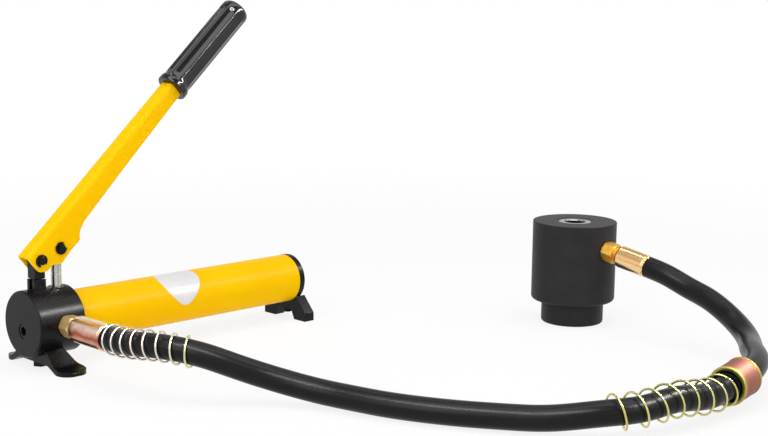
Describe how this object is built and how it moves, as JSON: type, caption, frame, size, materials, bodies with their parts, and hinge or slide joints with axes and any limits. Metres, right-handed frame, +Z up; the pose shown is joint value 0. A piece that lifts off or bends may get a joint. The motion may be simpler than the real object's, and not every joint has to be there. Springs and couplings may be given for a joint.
{
  "type": "hydraulic hole punch",
  "caption": "Lever-worked hydraulic hand pump with a reservoir tube on feet, a flexible hose with a screw coupler, and a hollow round punch head with a threaded ram for a draw stud.",
  "frame": {"origin": "centre of the punch head's closed base, on the surface that the object stands on", "axes": "+Z up along the ram and its thread bore; +X along the pump's long axis, from its head to its end cap; -Y towards the side that the hose leaves from"},
  "size_m": [0.5844, 0.5894, 0.3381],
  "materials": {
    "blacked_steel": "satin black oxide",
    "yellow_paint": "gloss powder coat",
    "bright_steel": "ground and polished",
    "zinc_yellow": "yellow zinc plate",
    "pump_ferrule_plate": "yellow zinc plate with a pink cast",
    "punch_ferrule_plate": "yellow zinc plate, pale",
    "sleeve_plate": "yellow zinc plate with a copper cast",
    "spring_wire": "zinc-plated spring wire",
    "return_spring_steel": "oiled spring steel",
    "hose_rubber": "satin black hose cover",
    "seal_rubber": "nitrile",
    "grip_rubber": "glossy moulded grip",
    "filter_bronze": "sintered bronze",
    "label_film": "white film"
  },
  "bodies": {
    "pump_and_cylinder": {"pump_head": "blacked_steel", "front_plug": "blacked_steel", "relief_spring": "return_spring_steel", "relief_ball": "bright_steel", "gland_nut": "blacked_steel", "plunger_seal": "seal_rubber", "link_lug": "blacked_steel", "link_pin": "blacked_steel", "reservoir_tube": "yellow_paint", "tube_orings": "seal_rubber", "end_cap": "blacked_steel", "tie_rod": "bright_steel", "tie_nut": "zinc_yellow", "suction_tube": "bright_steel", "suction_filter": "filter_bronze", "tube_label": "label_film", "front_foot": "blacked_steel", "front_foot_bolt": "blacked_steel", "rear_foot": "blacked_steel", "rear_foot_screw": "blacked_steel", "pump_hose_nut": "zinc_yellow", "pump_ferrule": "pump_ferrule_plate", "pump_guard_spring": "spring_wire", "hose_main": "hose_rubber", "coupler_guard_spring": "spring_wire", "coupler_body": "blacked_steel", "hose_tail": "hose_rubber", "punch_ferrule": "punch_ferrule_plate", "punch_hose_nut": "zinc_yellow", "punch_cylinder": "blacked_steel", "punch_end_cap": "blacked_steel", "cap_oring": "seal_rubber", "rod_seal": "seal_rubber", "wiper_ring": "seal_rubber", "return_spring": "return_spring_steel"},
    "link": {"lever_link": "blacked_steel"},
    "lever": {"lever_channel": "yellow_paint", "handle_rod": "bright_steel", "grip": "grip_rubber", "front_lever_pin": "blacked_steel", "front_pin_clips": "blacked_steel"},
    "plunger": {"plunger": "bright_steel", "rear_lever_pin": "blacked_steel", "rear_pin_clips": "blacked_steel"},
    "release_valve": {"release_spindle": "bright_steel", "release_knob": "blacked_steel"},
    "filler": {"filler_plug": "blacked_steel"},
    "coupler": {"coupler_sleeve": "sleeve_plate"},
    "ram": {"ram": "bright_steel", "ram_seal": "seal_rubber"},
    "inlet_ball": {"inlet_ball": "bright_steel"},
    "outlet_ball": {"outlet_ball": "bright_steel"}
  },
  "joints": [
    {"name": "link_swing", "type": "hinge", "parent": "pump_and_cylinder", "child": "link", "pos_m": [-0.5242, 0.218, 0.0795], "axis": [0, 1, 0], "range_deg": [-5, 1]},
    {"name": "lever_swing", "type": "hinge", "parent": "link", "child": "lever", "pos_m": [-0.5242, 0.218, 0.1022], "axis": [0, 1, 0], "range_deg": [-6.5, 48]},
    {"name": "plunger_slide", "type": "slide", "parent": "pump_and_cylinder", "child": "plunger", "axis": [0, 0, 1], "range_m": [-0.0175, 0.0025]},
    {"name": "release_turn", "type": "hinge", "parent": "pump_and_cylinder", "child": "release_valve", "pos_m": [-0.51575, 0.2515, 0.043], "axis": [0, 1, 0], "range_deg": [0, 360]},
    {"name": "filler_turn", "type": "hinge", "parent": "pump_and_cylinder", "child": "filler", "pos_m": [-0.2117, 0.218, 0.05768], "axis": [1, 0, 0], "range_deg": [0, 360]},
    {"name": "coupler_turn", "type": "hinge", "parent": "pump_and_cylinder", "child": "coupler", "pos_m": [-0.1704, -0.3006, 0.0223], "axis": [0.9898, 0.1058, 0.0958], "continuous": true},
    {"name": "ram_slide", "type": "slide", "parent": "pump_and_cylinder", "child": "ram", "axis": [0, 0, -1], "range_m": [0, 0.022], "stiffness_N_per_m": 2500, "springref_m": -0.008, "deforming": ["return_spring"]},
    {"name": "inlet_ball_lift", "type": "slide", "parent": "pump_and_cylinder", "child": "inlet_ball", "axis": [-1, 0, 0], "range_m": [0, 0.0008]},
    {"name": "outlet_ball_lift", "type": "slide", "parent": "pump_and_cylinder", "child": "outlet_ball", "axis": [0, -1, 0], "range_m": [0, 0.0008]}
  ],
  "couplings": [
    {"joint": "link_swing", "follows": "lever_swing", "ratio": -0.09},
    {"joint": "plunger_slide", "follows": "lever_swing", "m_per_rad": -0.0205}
  ]
}
